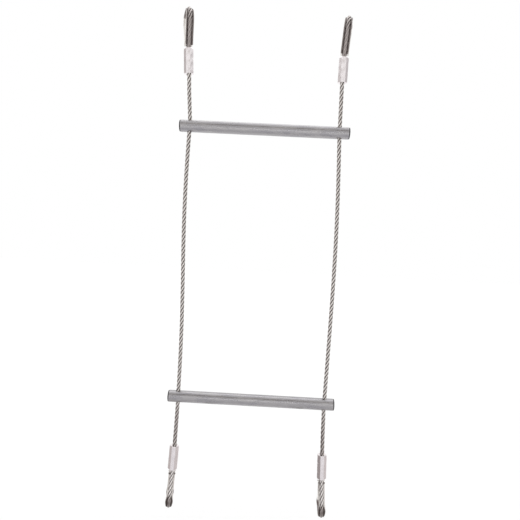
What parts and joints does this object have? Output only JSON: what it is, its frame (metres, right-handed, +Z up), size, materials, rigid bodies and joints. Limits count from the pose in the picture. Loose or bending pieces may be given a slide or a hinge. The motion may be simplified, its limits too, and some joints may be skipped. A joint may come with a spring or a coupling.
{
  "type": "wire rope ladder section",
  "caption": "Flexible wire rope ladder section with tubular metal rungs and a thimble eye on every rope end for linking or hanging",
  "frame": {"origin": "the hanging point: on the ladder's centre line, level with the seats of the two top thimbles", "axes": "+Z up along the hanging ladder, +X to the right along the rungs, -Y to the front"},
  "size_m": [0.1725, 0.0234, 0.5082],
  "materials": {
    "rung": "drawn, satin",
    "plug": "moulded, matt",
    "wedge": "plain",
    "wire": "galvanised strands",
    "ferrule": "pressed, bright",
    "thimble": "dull zinc"
  },
  "bodies": {
    "upper_rung": {"upper_rung_tube": "rung", "upper_left_end_plug": "plug", "upper_left_wire_wedge": "wedge", "upper_left_rung_wire": "wire", "upper_right_end_plug": "plug", "upper_right_wire_wedge": "wedge", "upper_right_rung_wire": "wire"},
    "lower_rung": {"lower_rung_tube": "rung", "lower_left_end_plug": "plug", "lower_left_wire_wedge": "wedge", "lower_left_rung_wire": "wire", "lower_right_end_plug": "plug", "lower_right_wire_wedge": "wedge", "lower_right_rung_wire": "wire"},
    "bay_upper": {"left_bay_upper_wire": "wire", "right_bay_upper_wire": "wire"},
    "bay_bight_1": {"left_bay_bight_1_wire": "wire", "right_bay_bight_1_wire": "wire"},
    "bay_bight_2": {"left_bay_bight_2_wire": "wire", "right_bay_bight_2_wire": "wire"},
    "bay_bight_3": {"left_bay_bight_3_wire": "wire", "right_bay_bight_3_wire": "wire"},
    "bay_lower": {"left_bay_lower_wire": "wire", "right_bay_lower_wire": "wire"},
    "top_left_tail": {"top_left_tail_wire": "wire"},
    "top_left_eye": {"top_left_eye_wire": "wire", "top_left_ferrule": "ferrule", "top_left_thimble": "thimble"},
    "top_right_tail": {"top_right_tail_wire": "wire"},
    "top_right_eye": {"top_right_eye_wire": "wire", "top_right_ferrule": "ferrule", "top_right_thimble": "thimble"},
    "bottom_left_tail": {"bottom_left_tail_wire": "wire"},
    "bottom_left_eye": {"bottom_left_eye_wire": "wire", "bottom_left_ferrule": "ferrule", "bottom_left_thimble": "thimble"},
    "bottom_right_tail": {"bottom_right_tail_wire": "wire"},
    "bottom_right_eye": {"bottom_right_eye_wire": "wire", "bottom_right_ferrule": "ferrule", "bottom_right_thimble": "thimble"}
  },
  "joints": [
    {"name": "bay_swing", "type": "hinge", "parent": "upper_rung", "child": "bay_upper", "pos_m": [0, 0, -0.1191], "axis": [1, 0, 0], "range_deg": [-90, 90], "stiffness_Nm_per_rad": 0.19},
    {"name": "bay_fold", "type": "hinge", "parent": "bay_upper", "child": "bay_bight_1", "pos_m": [0, 0, -0.22096], "axis": [1, 0, 0], "range_deg": [-45, 45], "stiffness_Nm_per_rad": 0.7},
    {"name": "bay_fold_2", "type": "hinge", "parent": "bay_bight_1", "child": "bay_bight_2", "pos_m": [0, 0, -0.23919], "axis": [1, 0, 0], "range_deg": [-45, 45], "stiffness_Nm_per_rad": 0.7},
    {"name": "bay_fold_3", "type": "hinge", "parent": "bay_bight_2", "child": "bay_bight_3", "pos_m": [0, 0, -0.25741], "axis": [1, 0, 0], "range_deg": [-45, 45], "stiffness_Nm_per_rad": 0.7},
    {"name": "bay_fold_4", "type": "hinge", "parent": "bay_bight_3", "child": "bay_lower", "pos_m": [0, 0, -0.27564], "axis": [1, 0, 0], "range_deg": [-45, 45], "stiffness_Nm_per_rad": 0.7},
    {"name": "lower_rung_swing", "type": "hinge", "parent": "bay_lower", "child": "lower_rung", "pos_m": [0, 0, -0.3775], "axis": [-1, 0, 0], "range_deg": [-90, 90], "stiffness_Nm_per_rad": 0.19},
    {"name": "top_left_fold", "type": "hinge", "parent": "upper_rung", "child": "top_left_tail", "pos_m": [-0.07516, 0, -0.1025], "axis": [1, 0, 0], "range_deg": [-90, 90], "stiffness_Nm_per_rad": 0.15},
    {"name": "top_left_sway", "type": "hinge", "parent": "top_left_tail", "child": "top_left_eye", "pos_m": [-0.07696, 0, -0.0768], "axis": [0, 1, 0], "range_deg": [-55, 55], "stiffness_Nm_per_rad": 0.15},
    {"name": "top_right_fold", "type": "hinge", "parent": "upper_rung", "child": "top_right_tail", "pos_m": [0.07499, 0, -0.1025], "axis": [1, 0, 0], "range_deg": [-90, 90], "stiffness_Nm_per_rad": 0.15},
    {"name": "top_right_sway", "type": "hinge", "parent": "top_right_tail", "child": "top_right_eye", "pos_m": [0.07485, 0, -0.0768], "axis": [0, -1, 0], "range_deg": [-55, 55], "stiffness_Nm_per_rad": 0.15},
    {"name": "bottom_left_fold", "type": "hinge", "parent": "lower_rung", "child": "bottom_left_tail", "pos_m": [-0.07507, 0, -0.3941], "axis": [1, 0, 0], "range_deg": [-90, 90], "stiffness_Nm_per_rad": 0.15},
    {"name": "bottom_left_sway", "type": "hinge", "parent": "bottom_left_tail", "child": "bottom_left_eye", "pos_m": [-0.07583, 0, -0.4198], "axis": [0, -1, 0], "range_deg": [-55, 55], "stiffness_Nm_per_rad": 0.15},
    {"name": "bottom_right_fold", "type": "hinge", "parent": "lower_rung", "child": "bottom_right_tail", "pos_m": [0.07504, 0, -0.3941], "axis": [1, 0, 0], "range_deg": [-90, 90], "stiffness_Nm_per_rad": 0.15},
    {"name": "bottom_right_sway", "type": "hinge", "parent": "bottom_right_tail", "child": "bottom_right_eye", "pos_m": [0.07554, 0, -0.4198], "axis": [0, 1, 0], "range_deg": [-55, 55], "stiffness_Nm_per_rad": 0.15}
  ],
  "couplings": [
    {"joint": "bay_fold_2", "follows": "bay_fold", "ratio": 1},
    {"joint": "bay_fold_3", "follows": "bay_fold", "ratio": 1},
    {"joint": "bay_fold_4", "follows": "bay_fold", "ratio": 1}
  ]
}
